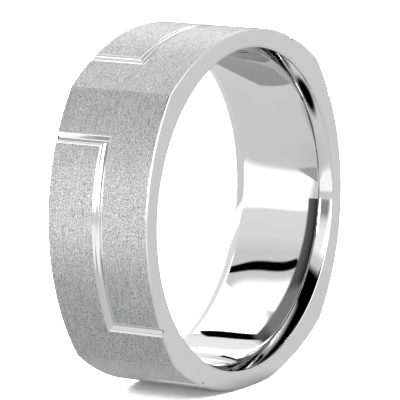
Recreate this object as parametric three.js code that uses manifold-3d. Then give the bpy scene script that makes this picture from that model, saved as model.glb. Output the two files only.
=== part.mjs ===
// Wedding band: a soft-square outer band with four stepped bright-cut grooves, lined with a round
// comfort-fit sleeve. Millimetres. The finger axis lies along Y, the band stands on one of its four
// crowned faces with +Z up, and the origin is the centre of the bore at mid-width.
import * as THREE from "three";
import { mergeVertices } from "three/addons/utils/BufferGeometryUtils.js";
import Module from "manifold-3d";

const wasm = await Module();
wasm.setup();

// ---- driving dimensions ----
const BORE_DIAMETER = 19.84; // narrowest, at mid-width: US ring size 10
const BAND_WIDTH = 7.5; // along the finger
const ACROSS_FACES = 23.1; // between the middles of opposite faces
const FACE_RADIUS = 14.3; // crown of each of the four faces
const REST_FLAT = 2; // the flat at the middle of each crown, wide enough to stand on
const SEAM_RADIUS = 10.46; // where the sleeve meets the outer band
const SEAM_GAP = 0.01; // what is left of the press fit between two faceted solids
const EDGE_BREAK = 0.1; // small bevel on the outer band's sharp edges

const RIM_WIDTH = 0.08; // the sleeve's flat rim, flush with the side faces
const LIP_DEPTH = 0.75; // how far the bevelled lip reaches into the bore, along the finger
const COMFORT_RISE = 0.08; // how much the bore opens between mid-width and the lip

const GROOVE_WIDTH = 0.72; // at the surface
const GROOVE_FLOOR_WIDTH = 0.12;
const GROOVE_DEPTH = 0.22;
const GROOVE_RUN = 12.2; // the length that runs around a face, between its two legs
const GROOVE_SHIFT = 0.25; // from the middle of a face to the middle of its groove, around the face

const FACES = 4;
const HALF_CROWN_FACETS = 12; // on either side of a face's flat
const RING_SEGMENTS = 120;
const COMFORT_STEPS = 5;
const BAR_STEP = 0.8; // the longest chord of a cutter that is bent over a face
const OVERCUT = 0.3; // how far a cutter reaches past the metal

// ---- derived values ----
const halfWidth = BAND_WIDTH / 2;
const flatAngle = Math.asin(REST_FLAT / 2 / FACE_RADIUS); // half of a flat, at its face's arc centre
const crownOffset = FACE_RADIUS * Math.cos(flatAngle) - ACROSS_FACES / 2; // ring's centre to arc centre
const cornerAngle =
  Math.acos(crownOffset / (Math.SQRT2 * FACE_RADIUS)) - Math.PI / 4; // half of a face, at its arc centre

const satinMetal = new THREE.MeshStandardMaterial({ color: 0xb9b9bc, roughness: 0.45, metalness: 1 });
const polishedMetal = new THREE.MeshStandardMaterial({ color: 0xd8d8da, roughness: 0.06, metalness: 1 });

// A point on or above the crown of the face that looks along faceAngle, at arcAngle from its middle.
function crownPoint(faceAngle, arcAngle, height = 0) {
  const reach = FACE_RADIUS + height;
  return new THREE.Vector2(
    -crownOffset * Math.cos(faceAngle) + reach * Math.cos(faceAngle + arcAngle),
    -crownOffset * Math.sin(faceAngle) + reach * Math.sin(faceAngle + arcAngle),
  );
}

// The soft-square outline seen along the finger: four crowned faces, each with a small flat at its
// middle, that meet in four creases.
function softSquare() {
  const { lerp } = THREE.MathUtils;
  const points = [];
  for (let face = 0; face < FACES; face++) {
    const faceAngle = (face * Math.PI) / 2;
    for (let i = 0; i <= HALF_CROWN_FACETS; i++)
      points.push(crownPoint(faceAngle, lerp(-cornerAngle, -flatAngle, i / HALF_CROWN_FACETS)));
    for (let i = 0; i < HALF_CROWN_FACETS; i++)
      points.push(crownPoint(faceAngle, lerp(flatAngle, cornerAngle, i / HALF_CROWN_FACETS)));
  }
  return new THREE.Shape(points);
}

function circle(radius) {
  const points = [];
  for (let i = 0; i < RING_SEGMENTS; i++) {
    const angle = (i * 2 * Math.PI) / RING_SEGMENTS;
    points.push(new THREE.Vector2(radius * Math.cos(angle), radius * Math.sin(angle)));
  }
  return new THREE.Path(points);
}

// A closed three.js geometry as a manifold-3d solid.
function solid(geometry) {
  const bare = geometry.clone();
  bare.deleteAttribute("normal");
  bare.deleteAttribute("uv");
  const merged = mergeVertices(bare, 1e-4);
  return new wasm.Manifold(
    new wasm.Mesh({
      numProp: 3,
      vertProperties: merged.attributes.position.array,
      triVerts: new Uint32Array(merged.index.array),
    }),
  );
}

function geometryOf(manifold) {
  const mesh = manifold.getMesh();
  const geometry = new THREE.BufferGeometry();
  geometry.setAttribute("position", new THREE.BufferAttribute(mesh.vertProperties, 3));
  geometry.setIndex(new THREE.BufferAttribute(mesh.triVerts, 1));
  geometry.computeVertexNormals();
  return geometry;
}

// One straight cut, flattened: a bar over a stretch of the groove's floor, widening upwards into the
// sloping banks. x runs around the face, y along the finger and z out of the surface.
function taperedBar(fromX, toX, fromY, toY) {
  const rise = GROOVE_DEPTH + OVERCUT;
  const spread = (rise * (GROOVE_WIDTH - GROOVE_FLOOR_WIDTH)) / (2 * GROOVE_DEPTH);
  const length = toX - fromX;
  const breadth = toY - fromY;
  const steps = Math.ceil(length / BAR_STEP);
  const bar = new THREE.BoxGeometry(length, breadth, rise, steps, 1, 1);
  const position = bar.attributes.position;
  for (let i = 0; i < position.count; i++) {
    const top = position.getZ(i) > 0;
    const widenX = top ? 1 + (2 * spread) / length : 1;
    const widenY = top ? 1 + (2 * spread) / breadth : 1;
    position.setX(i, position.getX(i) * widenX);
    position.setY(i, position.getY(i) * widenY);
  }
  bar.translate((fromX + toX) / 2, (fromY + toY) / 2, rise / 2 - GROOVE_DEPTH);
  return bar;
}

// Bends a flattened shape over the crown of the face that looks along faceAngle.
function bendOverFace(flat, faceAngle) {
  const bent = flat.clone();
  const position = bent.attributes.position;
  for (let i = 0; i < position.count; i++) {
    const point = crownPoint(faceAngle, -position.getX(i) / FACE_RADIUS, position.getZ(i));
    position.setXYZ(i, point.x, position.getY(i), point.y);
  }
  return bent;
}

// The cutter for one stepped groove: a run around the middle of the face with a leg at each end, one
// leg leaving over the back edge and the other over the front edge. turn is 1 or -1, and mirrors it.
function grooveCutter(faceAngle, turn) {
  const half = GROOVE_FLOOR_WIDTH / 2;
  const end = GROOVE_RUN / 2;
  const reach = halfWidth + OVERCUT;
  const run = taperedBar(-end - half, end + half, -half, half);
  const backLeg = taperedBar(turn * end - half, turn * end + half, -half, reach);
  const frontLeg = taperedBar(-turn * end - half, -turn * end + half, -reach, half);
  return [run, backLeg, frontLeg]
    .map((bar) => solid(bendOverFace(bar.translate(-GROOVE_SHIFT, 0, 0), faceAngle)))
    .reduce((cutter, bar) => cutter.add(bar));
}

function outerBand() {
  const section = softSquare();
  section.holes.push(circle(SEAM_RADIUS));
  const blank = new THREE.ExtrudeGeometry(section, {
    depth: BAND_WIDTH - 2 * EDGE_BREAK,
    bevelThickness: EDGE_BREAK,
    bevelSize: EDGE_BREAK,
    bevelOffset: -EDGE_BREAK,
    bevelSegments: 1,
  });
  blank.translate(0, 0, EDGE_BREAK - halfWidth);
  blank.rotateX(Math.PI / 2);
  let band = solid(blank);
  for (let face = 0; face < FACES; face++) {
    const turn = face % 2 === 0 ? 1 : -1; // the grooves of neighbouring faces mirror each other
    band = band.subtract(grooveCutter((face * Math.PI) / 2, turn));
  }
  return geometryOf(band);
}

// Radius of the sleeve's inner surface: a gentle comfort-fit dome, then a bevelled lip up to the rim.
function comfortProfile() {
  const bore = BORE_DIAMETER / 2;
  const lipStart = halfWidth - LIP_DEPTH;
  const profile = [];
  for (let i = -COMFORT_STEPS; i <= COMFORT_STEPS; i++) {
    const share = i / COMFORT_STEPS;
    profile.push(new THREE.Vector2(bore + COMFORT_RISE * share ** 4, lipStart * share));
  }
  const rim = SEAM_RADIUS - SEAM_GAP - RIM_WIDTH;
  profile.unshift(new THREE.Vector2(rim, -halfWidth));
  profile.push(new THREE.Vector2(rim, halfWidth));
  return profile;
}

function comfortFitSleeve() {
  const outside = SEAM_RADIUS - SEAM_GAP;
  const profile = comfortProfile();
  profile.unshift(new THREE.Vector2(outside, -halfWidth));
  profile.push(new THREE.Vector2(outside, halfWidth));
  profile.push(profile[0].clone());
  profile.reverse();
  return new THREE.LatheGeometry(profile, RING_SEGMENTS);
}

const weddingBand = new THREE.Group();
for (const [name, geometry, material] of [
  ["outer_band", outerBand(), satinMetal],
  ["comfort_fit_sleeve", comfortFitSleeve(), polishedMetal],
]) {
  const mesh = new THREE.Mesh(geometry, material);
  mesh.name = name;
  weddingBand.add(mesh);
}

export default weddingBand;
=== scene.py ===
"""Wedding band: a soft-square satin outer band with bright-cut stepped grooves, lined with a round
polished comfort-fit sleeve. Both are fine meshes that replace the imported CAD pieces, in a light tent."""

import math

import bpy
from mathutils import Matrix, Vector


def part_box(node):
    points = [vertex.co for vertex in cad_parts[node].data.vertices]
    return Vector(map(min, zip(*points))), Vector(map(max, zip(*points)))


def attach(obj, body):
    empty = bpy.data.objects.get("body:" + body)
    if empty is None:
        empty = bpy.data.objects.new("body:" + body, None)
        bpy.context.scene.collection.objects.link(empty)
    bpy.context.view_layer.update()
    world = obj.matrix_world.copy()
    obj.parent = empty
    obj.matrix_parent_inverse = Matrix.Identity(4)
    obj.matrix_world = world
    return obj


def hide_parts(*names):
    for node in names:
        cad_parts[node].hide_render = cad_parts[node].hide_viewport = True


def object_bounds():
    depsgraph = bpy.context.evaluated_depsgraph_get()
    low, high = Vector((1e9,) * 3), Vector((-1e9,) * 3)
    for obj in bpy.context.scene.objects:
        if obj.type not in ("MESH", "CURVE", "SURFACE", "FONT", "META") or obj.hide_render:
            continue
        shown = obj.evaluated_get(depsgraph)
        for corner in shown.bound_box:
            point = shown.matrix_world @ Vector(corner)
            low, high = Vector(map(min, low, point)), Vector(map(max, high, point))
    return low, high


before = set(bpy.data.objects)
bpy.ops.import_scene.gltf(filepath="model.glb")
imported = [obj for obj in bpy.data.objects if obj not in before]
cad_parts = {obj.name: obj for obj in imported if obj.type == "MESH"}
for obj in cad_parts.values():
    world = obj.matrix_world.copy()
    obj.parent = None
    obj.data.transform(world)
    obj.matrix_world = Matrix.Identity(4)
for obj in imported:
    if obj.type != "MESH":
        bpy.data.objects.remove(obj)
cad_low, cad_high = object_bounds()

MM = 0.001

# ---- sizes of the band, in millimetres ----
across_faces = (cad_high.z - cad_low.z) / MM
half_width = (cad_high.y - cad_low.y) / 2 / MM
sleeve_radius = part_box("comfort_fit_sleeve")[1].z / MM
FACES = 4
FACE_RADIUS = 14.3  # crown of each face
SEAM_GAP = 0.01  # between the sleeve and the outer band
EDGE_ROUND = 0.12  # rounding of the outer band's long edges

GROOVE_END = 6.1  # from the middle of a groove to each of its legs, along the crown
GROOVE_SHIFT = 0.25  # of each groove round the band from the middle of its face
GROOVE_HALF_WIDTH = 0.35
GROOVE_SECTION = [  # (distance from the middle, depth): one bank has a fine step, left by the cutter
    (-0.35, 0.0), (-0.25, 0.085), (-0.16, 0.09), (-0.04, 0.22), (0.05, 0.235), (0.33, 0.0),
]
GROOVE_BLEND = 0.018  # half the width of the rounding at each corner of the section

BORE_RADIUS = 9.92  # at mid-width
COMFORT_RISE = 0.08  # how much the bore opens between mid-width and the lip
LIP_START = 2.95  # from mid-width to the lip
LIP_BULGE = 0.02  # how far the lip stands off a straight cone
LIP_BLEND = 0.03  # half the width of the rounding between the bore and the lip
RIM_RADIUS = sleeve_radius - 0.09  # where the lip ends at the side face
RIM_ROUND = 0.08

crown_offset = FACE_RADIUS - across_faces / 2
corner_arc = FACE_RADIUS * (math.acos(crown_offset / (math.sqrt(2) * FACE_RADIUS)) - math.pi / 4)

# ---- fineness of the meshes, in millimetres where not a count ----
COARSE_STEP = 0.35  # between points on the plain stretches of the outer band
GROOVE_STEP = 0.016  # between points across a groove
GROOVE_MARGIN = 0.03  # of plain band between a groove's last point and the next coarse one
EDGE_STEPS = 6  # round each long edge
BLEND_STEPS = 3  # on either side, for the mean that rounds the groove's section
SUPPORT = 0.04  # of an extra row of points beside a rounding, so it shades crisply
RING_SEGMENTS = 360
BORE_STEP, LIP_STEP, CORNER_STEP = 0.08, 0.04, 0.02  # across the sleeve
CORNER_REACH = 0.3  # on either side of the corner between bore and lip
RIM_STEPS = 5

SATIN, BRIGHT_CUT, SIDE_POLISH = 0, 1, 2  # the outer band's material slots


# ---- small helpers ----
def spread(low, high, step):
    """Even positions from low to high, both included, no further apart than step."""
    count = max(1, math.ceil((high - low) / step))
    return [low + (high - low) * i / count for i in range(count + 1)]


def blended_max(a, b, reach):
    """The larger of a and b, rounded where they are closer than reach."""
    near = max(reach - abs(a - b), 0) / reach
    return max(a, b) + near * near * reach / 4


def add_mesh(name, points, faces, materials, material_of_face):
    """A mesh object from points in millimetres."""
    mesh = bpy.data.meshes.new(name)
    mesh.from_pydata([[c * MM for c in point] for point in points], [], faces)
    for material in materials:
        mesh.materials.append(material)
    mesh.polygons.foreach_set("material_index", material_of_face)
    mesh.shade_smooth()
    thing = bpy.data.objects.new(name, mesh)
    bpy.context.scene.collection.objects.link(thing)
    return thing


# ---- the outer band ----
def crown_point(face, arc, height):
    """The point of a face at arc millimetres from its middle, height above its crown, as (x, z)."""
    face_angle = face * math.pi / 2
    angle = face_angle + arc / FACE_RADIUS
    reach = FACE_RADIUS + height
    return (
        reach * math.cos(angle) - crown_offset * math.cos(face_angle),
        reach * math.sin(angle) - crown_offset * math.sin(face_angle),
    )


def across_groove(face, arc, y):
    """How far a point lies from the middle of its face's groove, with mitred corners."""
    shifted = arc - GROOVE_SHIFT
    along = -shifted if face % 2 == 0 else shifted  # the grooves of neighbouring faces mirror each other
    return max(along - GROOVE_END, min(along + GROOVE_END, -y))


def section_depth(distance):
    """Depth of the sharp-cornered section."""
    for (low, start), (high, end) in zip(GROOVE_SECTION, GROOVE_SECTION[1:]):
        if low <= distance <= high:
            return start + (end - start) * (distance - low) / (high - low)
    return 0.0


def groove_depth(distance):
    """The section with its corners rounded, as the mean over a short stretch."""
    steps = range(-BLEND_STEPS, BLEND_STEPS + 1)
    samples = [section_depth(distance + GROOVE_BLEND * i / BLEND_STEPS) for i in steps]
    return sum(samples) / len(samples)


def groove_offsets():
    """Positions across a groove."""
    reach = GROOVE_HALF_WIDTH + GROOVE_BLEND
    return spread(-reach, reach, GROOVE_STEP)


def merged(*lists):
    """All positions in order, without near doubles."""
    found = []
    for value in sorted(v for values in lists for v in values):
        if not found or value - found[-1] > 1e-4:
            found.append(value)
    return found


def band_columns():
    """Positions round a face, fine at the two legs of its groove."""
    offsets = groove_offsets()
    reach = offsets[-1] + GROOVE_MARGIN
    first, second = GROOVE_SHIFT - GROOVE_END, GROOVE_SHIFT + GROOVE_END
    return merged(
        spread(-corner_arc, first - reach, COARSE_STEP),
        [first + o for o in offsets],
        spread(first + reach, second - reach, COARSE_STEP),
        [second + o for o in offsets],
        spread(second + reach, corner_arc, COARSE_STEP),
    )


def band_rows():
    """(y, drop) across the band: drop is the rounding of its long edges, from 0 to EDGE_ROUND."""
    offsets = groove_offsets()
    reach = offsets[-1] + GROOVE_MARGIN
    flat_end = half_width - EDGE_ROUND
    side = spread(reach, flat_end - SUPPORT, COARSE_STEP) + [flat_end]
    ys = merged([-y for y in side], offsets, side)
    turns = [math.pi / 2 * i / EDGE_STEPS for i in range(1, EDGE_STEPS + 1)]
    edge = [(flat_end + EDGE_ROUND * math.sin(t), EDGE_ROUND * (1 - math.cos(t))) for t in turns]
    return [(-y, d) for y, d in reversed(edge)] + [(y, 0.0) for y in ys] + edge


def band_points(columns, rows):
    """The outer surface, column by column, then four points a column for the sides and the seam."""
    points = []
    for face, arc in columns:
        for y, drop in rows:
            depth = groove_depth(across_groove(face, arc, y))
            x, z = crown_point(face, arc, -max(drop, depth + 0.1 * drop))
            points.append((x, y, z))
    seam = sleeve_radius + SEAM_GAP
    for face, arc in columns:
        x, z = crown_point(face, arc, -EDGE_ROUND - SUPPORT)
        support = math.hypot(x, z)
        ring = ((support, -half_width), (seam, -half_width), (seam, half_width), (support, half_width))
        points += [(x * radius / support, y, z * radius / support) for radius, y in ring]
    return points


def band_faces(columns, rows):
    """The faces over band_points, and the material slot of each."""
    total, tall = len(columns), len(rows)
    inner = total * tall
    faces, slots = [], []
    for i in range(total):
        j = (i + 1) % total
        face, arc = columns[i]
        next_arc = columns[j][1] if columns[j][0] == face else corner_arc
        for k in range(tall - 1):
            a, b = i * tall + k, i * tall + k + 1
            c, d = j * tall + k + 1, j * tall + k
            (y, drop), (next_y, next_drop) = rows[k], rows[k + 1]
            middle = across_groove(face, (arc + next_arc) / 2, (y + next_y) / 2)
            if abs(middle) < GROOVE_HALF_WIDTH + GROOVE_BLEND:
                # each quad is cut along the groove's own mitre, which slopes the other way on odd faces
                faces += [(a, b, c), (a, c, d)] if face % 2 == 0 else [(a, b, d), (b, c, d)]
                slots += [BRIGHT_CUT, BRIGHT_CUT]
            else:
                faces.append((a, b, c, d))
                slots.append(SIDE_POLISH if min(drop, next_drop) > 0 else SATIN)
        front, back = i * tall, i * tall + tall - 1
        next_front, next_back = j * tall, j * tall + tall - 1
        p, q = inner + 4 * i, inner + 4 * j
        faces += [
            (front, next_front, q, p),
            (p, q, q + 1, p + 1),
            (p + 1, q + 1, q + 2, p + 2),
            (p + 2, q + 2, q + 3, p + 3),
            (p + 3, q + 3, next_back, back),
        ]
        slots += [SIDE_POLISH] * 5
    return faces, slots


def build_outer_band(satin, bright_cut, side_polish):
    """The band as a grid of columns round the faces and rows across them, closed by its sides and seam."""
    columns = [(face, arc) for face in range(FACES) for arc in band_columns()[:-1]]
    rows = band_rows()
    faces, slots = band_faces(columns, rows)
    materials = [satin, bright_cut, side_polish]
    band = add_mesh("outer_band_fine", band_points(columns, rows), faces, materials, slots)
    band.data.set_sharp_from_angle(angle=math.radians(25))
    sharpen_corners(band.data, columns, len(rows))
    return band


def sharpen_corners(mesh, columns, tall):
    """Marks the edges along the four corners as sharp: they turn too little to be found by angle."""
    inner = len(columns) * tall
    corners = [i for i, (_, arc) in enumerate(columns) if arc == -corner_arc]
    corner_points = {i * tall + k for i in corners for k in range(tall)}
    corner_points |= {inner + 4 * i + k for i in corners for k in (0, 3)}
    sharp = mesh.attributes["sharp_edge"].data
    for edge in mesh.edges:
        if corner_points.issuperset(edge.vertices):
            sharp[edge.index].value = True


# ---- the sleeve ----
def sleeve_profile():
    """(radius, y) of the sleeve's section, from the front rim through the bore to the back rim."""
    corner = BORE_RADIUS + COMFORT_RISE
    lip_end = half_width - RIM_ROUND
    lip_slope = (RIM_RADIUS - corner) / (lip_end - LIP_START)

    def radius_at(y):
        bore = BORE_RADIUS + COMFORT_RISE * (y / LIP_START) ** 4
        share = max(0, (y - LIP_START) / (lip_end - LIP_START))
        lip = corner + lip_slope * (y - LIP_START) - LIP_BULGE * 4 * share * (1 - share)
        return blended_max(bore, lip, LIP_BLEND * lip_slope * 2)

    near_lip = spread(LIP_START - CORNER_REACH, LIP_START + CORNER_REACH, CORNER_STEP)
    ys = merged(spread(0, near_lip[0], BORE_STEP), near_lip, spread(near_lip[-1], lip_end, LIP_STEP))
    half = [(radius_at(y), y) for y in ys]
    rim = half[-1][0]
    for i in range(1, RIM_STEPS + 1):
        turn = math.pi / 2 * i / RIM_STEPS
        half.append((rim + RIM_ROUND * (1 - math.cos(turn)), lip_end + RIM_ROUND * math.sin(turn)))
    return [(r, -y) for r, y in reversed(half[1:])] + half


def build_sleeve(polished):
    """The section turned round the finger axis."""
    section = [(sleeve_radius, -half_width)] + sleeve_profile() + [(sleeve_radius, half_width)]
    points = []
    for i in range(RING_SEGMENTS):
        angle = 2 * math.pi * i / RING_SEGMENTS
        points += [(r * math.cos(angle), y, r * math.sin(angle)) for r, y in section]
    tall = len(section)
    faces = []
    for i in range(RING_SEGMENTS):
        j = (i + 1) % RING_SEGMENTS
        for k in range(tall):
            m = (k + 1) % tall
            faces.append((i * tall + k, j * tall + k, j * tall + m, i * tall + m))
    sleeve = add_mesh("comfort_fit_sleeve_fine", points, faces, [polished], [0] * len(faces))
    sleeve.data.set_sharp_from_angle(angle=math.radians(35))
    return sleeve


# ---- node helpers ----
def add_node(tree, kind, inputs=(), **settings):
    """A node with its settings. Each input is a name or number with a value or another node's output."""
    node = tree.nodes.new(kind)
    for name, value in settings.items():
        setattr(node, name, value)
    for socket, value in inputs:
        if isinstance(value, bpy.types.NodeSocket):
            tree.links.new(value, node.inputs[socket])
        else:
            node.inputs[socket].default_value = value
    return node


def calculate(tree, operation, *values):
    """A sum on numbers or node outputs."""
    return add_node(tree, "ShaderNodeMath", enumerate(values), operation=operation).outputs[0]


def smooth_step(tree, value, low, high, to_low=0.0, to_high=1.0):
    """Goes from to_low to to_high, smoothly, as value goes from low to high."""
    inputs = enumerate((value, low, high, to_low, to_high))
    node = add_node(tree, "ShaderNodeMapRange", inputs, interpolation_type="SMOOTHSTEP")
    return node.outputs[0]


def azimuth_of(tree, x, y):
    """Degrees from the front, -Y, towards +X."""
    ahead = calculate(tree, "MULTIPLY", y, -1.0)
    return calculate(tree, "DEGREES", calculate(tree, "ARCTAN2", x, ahead))


def band_mask(tree, angle, middle, half, soft):
    """1 within half degrees of middle and 0 beyond, with an edge that is 2 * soft wide."""
    aside = calculate(tree, "WRAP", calculate(tree, "SUBTRACT", angle, middle), 180.0, -180.0)
    return smooth_step(tree, calculate(tree, "ABSOLUTE", aside), half - soft, half + soft, 1.0, 0.0)


def blend(tree, share, first, second):
    """From first to second as share goes from 0 to 1."""
    node = add_node(tree, "ShaderNodeMix", ((0, share), (2, first), (3, second)), data_type="FLOAT")
    return node.outputs[0]


def rounded_reach(tree, u, v, power):
    """Distance from the middle of a rounded box of half size 1: an ellipse at power 2, boxier above."""
    both = calculate(tree, "ADD", calculate(tree, "POWER", u, power), calculate(tree, "POWER", v, power))
    return calculate(tree, "POWER", both, 1 / power)


def object_millimetres(tree):
    """x and y in the object's own coordinates."""
    place = add_node(tree, "ShaderNodeTexCoord").outputs["Object"]
    inputs = ((0, place), (3, 1 / MM))
    millimetres = add_node(tree, "ShaderNodeVectorMath", inputs, operation="SCALE").outputs[0]
    return add_node(tree, "ShaderNodeSeparateXYZ", ((0, millimetres),)).outputs[:2]


# ---- materials ----
def noise(tree, size, detail=2.0, stretch=1.0, seed=0.0):
    """Noise with grains of about size millimetres, stretched round the band by stretch."""
    place = add_node(tree, "ShaderNodeTexCoord").outputs["Object"]
    rate = 1 / (size * MM)
    inputs = (
        ("Vector", place),
        ("Location", (seed, seed, seed)),
        ("Scale", (rate / stretch, rate, rate / stretch)),
    )
    mapping = add_node(tree, "ShaderNodeMapping", inputs)
    inputs = (("Vector", mapping.outputs[0]), ("Scale", 1.0), ("Detail", detail), ("Roughness", 0.6))
    return add_node(tree, "ShaderNodeTexNoise", inputs).outputs[0]


def metal(name, base):
    """A metal, with the plain colour that its tint replaces."""
    material = bpy.data.materials.new(name)
    material.use_nodes = True
    shader = material.node_tree.nodes["Principled BSDF"]
    shader.inputs["Base Color"].default_value = (*base, 1)
    shader.inputs["Metallic"].default_value = 1
    return material, material.node_tree, shader


def tinted(tree, shader, tone, dark, light):
    """Sets the base colour between dark and light by tone."""
    inputs = ((0, tone), (6, (*dark, 1)), (7, (*light, 1)))
    mix = add_node(tree, "ShaderNodeMix", inputs, data_type="RGBA")
    tree.links.new(mix.outputs[2], shader.inputs["Base Color"])


def bumped(tree, shader, height, depth):
    """Bump of depth millimetres."""
    inputs = (("Height", height), ("Distance", depth * MM), ("Strength", 1.0))
    bump = add_node(tree, "ShaderNodeBump", inputs)
    tree.links.new(bump.outputs[0], shader.inputs["Normal"])


def satin_metal_material():
    """Wire-brushed and blasted: a fine grain, with patches that show round streaks as well. The
    highlight spreads across the band."""
    material, tree, shader = metal("satin_metal", (0.43, 0.43, 0.44))
    grain = noise(tree, 0.062, 2.0, 1.1)
    streaks = noise(tree, 0.09, 3.0, 9.0, 3.0)
    cloud = noise(tree, 2.2, 2.0, 1.5, 7.0)
    speckle = smooth_step(tree, grain, 0.36, 0.64)
    brushed = smooth_step(tree, streaks, 0.3, 0.7)
    relief = blend(tree, smooth_step(tree, cloud, 0.35, 0.65, 0.0, 0.4), speckle, brushed)
    tinted(tree, shader, relief, (0.18, 0.18, 0.187), (0.64, 0.64, 0.64))
    tree.links.new(smooth_step(tree, cloud, 0.2, 0.8, 0.38, 0.42), shader.inputs["Roughness"])
    bumped(tree, shader, relief, 0.012)
    shader.inputs["Anisotropic"].default_value = 0.88
    shader.inputs["Anisotropic Rotation"].default_value = 0.25  # a quarter turn, to lie across the band
    tangent = add_node(tree, "ShaderNodeTangent", direction_type="RADIAL", axis="Y")
    tree.links.new(tangent.outputs[0], shader.inputs["Tangent"])
    return material


def polished_metal_material(name, roughness, wave):
    """Polish with faint uneven haze and buffing waves of wave millimetres."""
    material, tree, shader = metal(name, (0.6, 0.6, 0.605))
    haze = noise(tree, 0.5, 3.0, 3.0, 5.0)
    uneven = smooth_step(tree, haze, 0.3, 0.7, roughness * 0.7, roughness * 1.3)
    tree.links.new(uneven, shader.inputs["Roughness"])
    tinted(tree, shader, noise(tree, 2.5, 2.0, 2.0, 9.0), (0.58, 0.58, 0.585), (0.62, 0.62, 0.625))
    bumped(tree, shader, noise(tree, 1.5, 1.0, 3.0, 2.0), wave)
    return material


# ---- the studio: directions in degrees, lengths in millimetres, brightness against white paper ----
TENT_TONES = [  # (elevation, brightness) of the tent round the band
    (-90, 0.95), (9, 1.16), (24, 1.12), (36, 0.96), (47, 0.95), (53, 1.3), (62, 1.0), (90, 1.0),
]
SOFTBOXES_AND_FLAGS = [  # (azimuth, elevation, half width, half height, soft edge, bow, brightness)
    (-152, -4.5, 36, 12.5, 1.5, 0, 2.0),  # low white wall at the back left
    (168, 41, 28, 17, 2.0, 0, 3.4),  # high softbox behind, beside a plainer panel at its right
    (130, 33, 7.5, 12, 1.5, 0, 1.3),
    (-150, 59, 32, 7, 2.5, 0, 2.0),  # overhead softboxes, at the back left and the front right
    (60, 66, 18, 10, 4.0, 0, 1.4),
    (118, 36, 6.5, 15, 4.0, 0, 5.0),  # narrow strong softbox at the right
    (-141, 43.7, 14.5, 2.4, 0.6, 0.015, 0),  # thin black strips behind, one lying and one standing
    (139, 46.5, 3.2, 6.5, 0.5, 0, 0),
    (-72, 27, 22, 9.5, 3.5, 0, 1.4),  # softbox at the front left, with a grey card below it
    (-71, 5, 12, 6.5, 4.0, 0, 0.4),
    (-87, 10.5, 10, 11, 3.0, 0, 13.0),  # narrow strong softbox at the curtain's front edge
    (-75, 60, 50, 14, 3.5, 0, 0),  # black flag over the front left
    (-12, 14, 46, 18, 5.0, 0, 3.0),  # softbox in front
    (103, 6, 13, 20, 4.0, 0, 0.05),  # dark flag at the right, with a softbox above it
    (95, 40, 10, 10, 3.0, 0, 1.7),
]
CURTAIN_EDGE, CURTAIN_TURN = 0.487, 0.05  # where the dark left curtain ends towards +Y, turned a little
FLOOR_TONE = 0.95  # of the floor as the metal shows it
FLOOR_GLOWS = [  # (azimuth, half width, from, to, fading from, gone at, extra brightness)
    (-134, 18, 26, 38, 2000, 2400, 1.0),  # lit floor at the back left and the front left
    (-72, 34, 22, 34, 80, 140, 0.6),
    (103, 13, 50, 80, 900, 999, -0.9),  # painted shade on the floor at the right
]
FLOOR_SHADES = [  # (x, y, half width, half depth, soft edge against size, brightness)
    (0, 0, 4.5, 4.5, 0.5, 0.25),  # under the band
    (-23, 0, 17, 14, 0.3, 0.85),  # a wide faint painted shade at the left, and a darker painted shade beyond it
    (-32, 13.5, 12, 5.5, 0.1, 0.55),
]
PAINTED_SHADOW_TONE = 0.47  # painted shadow of the band on the floor, behind and to the right
PAINTED_SHADOW_LEFT, PAINTED_SHADOW_FRONT = 9, 5
PAINTED_SHADOW_BACK, PAINTED_SHADOW_SLOPE = 5.0, 0.7  # its back edge, in y at x = 0, and how fast it moves back
PAINTED_SHADE_CARD_PLACE = (5.8, -4.95, -5.0)  # a black card of painted shade, just outside the finger hole, below its middle
PAINTED_SHADE_CARD_HALF_WIDTH, PAINTED_SHADE_CARD_HALF_DEPTH = 3.1, 1.7
PAINTED_SHADE_CARD_TURN = 28
KEY_LIGHT_HEIGHT, KEY_LIGHT_WIDTH, KEY_LIGHT_POWER = 0.45, 1.6, 60.0  # metres and watts
WHITE_BEYOND = 1.5  # of the tent as the camera sees it


def stage_plane(name, half_across, half_deep, place):
    """A level plane of the studio, all in metres, with an empty node tree."""
    mesh = bpy.data.meshes.new(name)
    corners = [(-1, -1), (1, -1), (1, 1), (-1, 1)]
    mesh.from_pydata([(x * half_across, y * half_deep, 0) for x, y in corners], [], [(0, 1, 2, 3)])
    material = bpy.data.materials.new(name)
    material.use_nodes = True
    mesh.materials.append(material)
    plane = bpy.data.objects.new(name, mesh)
    plane.location = place
    bpy.context.scene.collection.objects.link(plane)
    return plane, material.node_tree


def add_floor():
    """Plain pale paper."""
    floor, tree = stage_plane("floor", 2.5, 2.5, (0, 0, cad_low.z))
    shader = tree.nodes["Principled BSDF"]
    shader.inputs["Base Color"].default_value = (0.93, 0.93, 0.93, 1)
    shader.inputs["Roughness"].default_value = 0.9
    shader.inputs["Specular IOR Level"].default_value = 0.0
    floor.visible_glossy = False


def only_reflected(thing, tree, surface):
    """Gives thing a surface that nothing but reflections see."""
    thing.visible_camera = thing.visible_diffuse = thing.visible_shadow = False
    tree.nodes.remove(tree.nodes["Principled BSDF"])
    tree.links.new(surface, tree.nodes["Material Output"].inputs[0])


def with_glows(tree, tone, x, y):
    """Wedges of painted light and painted shade on the floor, that start at some distance from the band."""
    away = calculate(tree, "SQRT", calculate(tree, "MULTIPLY_ADD", x, x, calculate(tree, "MULTIPLY", y, y)))
    azimuth = azimuth_of(tree, x, y)
    for middle, half, near, full, fading, gone, level in FLOOR_GLOWS:
        rise = smooth_step(tree, away, near, full, 0.0, level)
        fall = smooth_step(tree, away, fading, gone, 1.0, 0.0)
        mask = calculate(tree, "MULTIPLY", fall, band_mask(tree, azimuth, middle, half, 3.0))
        tone = calculate(tree, "MULTIPLY_ADD", rise, mask, tone)
    return tone


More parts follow.
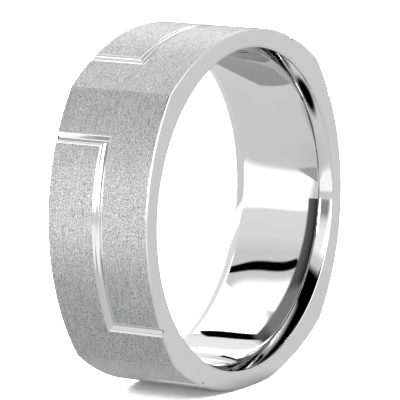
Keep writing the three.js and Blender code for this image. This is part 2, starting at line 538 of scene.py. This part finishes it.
def with_painted_shadow(tree, tone, x, y):
    # painted shadow of the band on the floor, behind and to the right, with a sloping back edge
    behind = calculate(tree, "MULTIPLY_ADD", x, -PAINTED_SHADOW_SLOPE, y)
    right = smooth_step(tree, x, PAINTED_SHADOW_LEFT, PAINTED_SHADOW_LEFT + 0.3)
    back = smooth_step(tree, y, PAINTED_SHADOW_FRONT, PAINTED_SHADOW_FRONT + 1)
    before = smooth_step(tree, behind, PAINTED_SHADOW_BACK - 0.3, PAINTED_SHADOW_BACK, 1.0, 0.0)
    painted_shade = calculate(tree, "MULTIPLY", calculate(tree, "MULTIPLY", right, back), before)
    return blend(tree, painted_shade, tone, PAINTED_SHADOW_TONE)


def with_shades(tree, tone, x, y):
    for across, back, half_across, half_deep, soft, level in FLOOR_SHADES:
        u = calculate(tree, "DIVIDE", calculate(tree, "SUBTRACT", x, across), half_across)
        v = calculate(tree, "DIVIDE", calculate(tree, "SUBTRACT", y, back), half_deep)
        inside = smooth_step(tree, rounded_reach(tree, u, v, 4.0), 1 - soft, 1 + soft, 1.0, 0.0)
        tone = blend(tree, inside, tone, level)
    return tone


def add_reflected_floor():
    """The floor as the metal shows it, just over the paper: painted light, a painted shadow of the band and
    painted shade.
    """
    plane, tree = stage_plane("reflected_floor", 2.5, 2.5, (0, 0, cad_low.z + 0.02 * MM))
    x, y = object_millimetres(tree)
    tone = with_glows(tree, FLOOR_TONE, x, y)
    tone = with_painted_shadow(tree, tone, x, y)
    tone = with_shades(tree, tone, x, y)
    only_reflected(plane, tree, add_node(tree, "ShaderNodeEmission", (("Strength", tone),)).outputs[0])


def add_painted_shade_card():
    """A small soft-edged black card under the finger hole's front, which only the lip shows: painted shade,
    standing in for the shade on the floor beside the band.
    """
    place = [c * MM for c in PAINTED_SHADE_CARD_PLACE]
    half_across, half_deep = PAINTED_SHADE_CARD_HALF_WIDTH * MM, PAINTED_SHADE_CARD_HALF_DEPTH * MM
    painted_shade, tree = stage_plane("painted_shade_card", half_across, half_deep, place)
    painted_shade.rotation_euler.z = math.radians(PAINTED_SHADE_CARD_TURN)
    x, y = object_millimetres(tree)
    u = calculate(tree, "DIVIDE", x, PAINTED_SHADE_CARD_HALF_WIDTH)
    v = calculate(tree, "DIVIDE", y, PAINTED_SHADE_CARD_HALF_DEPTH)
    inside = smooth_step(tree, rounded_reach(tree, u, v, 2.0), 0.5, 1.0, 1.0, 0.0)
    black = add_node(tree, "ShaderNodeEmission", (("Strength", 0.0),)).outputs[0]
    clear = add_node(tree, "ShaderNodeBsdfTransparent").outputs[0]
    mix = add_node(tree, "ShaderNodeMixShader", ((0, inside), (1, clear), (2, black)))
    only_reflected(painted_shade, tree, mix.outputs[0])


def with_boxes(tree, tone, azimuth, elevation):
    """Lays the softboxes and flags over the tent. A bow lowers a box's ends."""
    for middle, height, half_across, half_up, soft, bow, level in SOFTBOXES_AND_FLAGS:
        across = band_mask(tree, azimuth, middle, half_across, soft)
        aside = calculate(tree, "WRAP", calculate(tree, "SUBTRACT", azimuth, middle), 180.0, -180.0)
        sag = calculate(tree, "MULTIPLY", calculate(tree, "MULTIPLY", aside, aside), bow)
        up = band_mask(tree, calculate(tree, "ADD", elevation, sag), height, half_up, soft)
        tone = blend(tree, calculate(tree, "MULTIPLY", across, up), tone, level)
    return tone


def with_curtain(tree, tone, x, y, elevation):
    """Hangs the dark curtain in the tent: paler at its back edge, and paler overhead."""
    depth = calculate(tree, "SUBTRACT", y, calculate(tree, "MULTIPLY", x, CURTAIN_TURN))
    side = smooth_step(tree, depth, CURTAIN_EDGE - 0.12, CURTAIN_EDGE, 0.02, 0.16)
    cloth = blend(tree, smooth_step(tree, elevation, 53.0, 60.0), side, 0.3)
    before = smooth_step(tree, depth, CURTAIN_EDGE - 0.008, CURTAIN_EDGE + 0.008, 1.0, 0.0)
    inside = calculate(tree, "MULTIPLY", before, smooth_step(tree, depth, 0.09, 0.12))
    overhead = smooth_step(tree, elevation, 46.0, 50.0)
    left = calculate(tree, "MAXIMUM", smooth_step(tree, x, -0.05, 0.0, 1.0, 0.0), overhead)
    above = smooth_step(tree, elevation, -9.0, -6.0)
    hung = calculate(tree, "MULTIPLY", inside, calculate(tree, "MULTIPLY", left, above))
    return blend(tree, hung, tone, cloth)


def add_world():
    """A light tent with softboxes, flags and a curtain. The camera sees plain white in its place."""
    world = bpy.data.worlds.new("studio")
    bpy.context.scene.world = world
    world.use_nodes = True
    tree = world.node_tree
    towards = add_node(tree, "ShaderNodeTexCoord").outputs["Generated"]
    x, y, z = add_node(tree, "ShaderNodeSeparateXYZ", ((0, towards),)).outputs
    azimuth = azimuth_of(tree, x, y)
    elevation = calculate(tree, "DEGREES", calculate(tree, "ARCSINE", z))
    tone = TENT_TONES[0][1]
    for (low, _), (high, level) in zip(TENT_TONES, TENT_TONES[1:]):
        tone = blend(tree, smooth_step(tree, elevation, low, high), tone, level)
    tone = with_boxes(tree, tone, azimuth, elevation)
    tone = with_curtain(tree, tone, x, y, elevation)
    seen = add_node(tree, "ShaderNodeLightPath").outputs["Is Camera Ray"]
    background = tree.nodes["Background"]
    background.inputs["Color"].default_value = (1, 1, 1, 1)
    tree.links.new(blend(tree, seen, tone, WHITE_BEYOND), background.inputs["Strength"])


def add_key_light():
    """A wide soft overhead light, for the floor and the shadow under the band only."""
    data = bpy.data.lights.new("overhead", "AREA")
    data.shape = "DISK"
    data.size = KEY_LIGHT_WIDTH
    data.energy = KEY_LIGHT_POWER
    light = bpy.data.objects.new("overhead", data)
    light.location = (0, 0, KEY_LIGHT_HEIGHT)
    light.visible_glossy = False
    light.visible_camera = False
    bpy.context.scene.collection.objects.link(light)


def add_camera():
    """The photograph's view: from the front left, a little above, and rolled with the band."""
    azimuth, elevation, roll = math.radians(-56.93), math.radians(8.67), math.radians(1.94)
    distance = 0.2877
    back = Vector((
        math.sin(azimuth) * math.cos(elevation),
        -math.cos(azimuth) * math.cos(elevation),
        math.sin(elevation),
    ))
    turn = back.to_track_quat("Z", "Y").to_matrix().to_4x4()
    aim = turn @ Vector((0.10, 0.30, 0)) * MM
    data = bpy.data.cameras.new("camera")
    data.sensor_width = 36
    data.lens = 403.6
    data.clip_start, data.clip_end = 0.01, 10
    camera = bpy.data.objects.new("camera", data)
    bpy.context.scene.collection.objects.link(camera)
    upright = Matrix.Translation(back * distance + aim) @ turn
    camera.matrix_world = Matrix.Rotation(roll, 4, "Y") @ upright
    bpy.context.scene.camera = camera


# ---- put together ----
bpy.context.scene.view_settings.view_transform = "Standard"
outer_band = build_outer_band(
    satin_metal_material(),
    polished_metal_material("bright_cut_metal", 0.08, 0.0),
    polished_metal_material("side_polish", 0.16, 0.0),
)
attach(outer_band, "root")
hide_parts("outer_band")

sleeve = build_sleeve(polished_metal_material("polished_metal", 0.03, 0.0005))
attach(sleeve, "root")
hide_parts("comfort_fit_sleeve")

add_floor()
add_reflected_floor()
add_painted_shade_card()
add_world()
add_key_light()
add_camera()
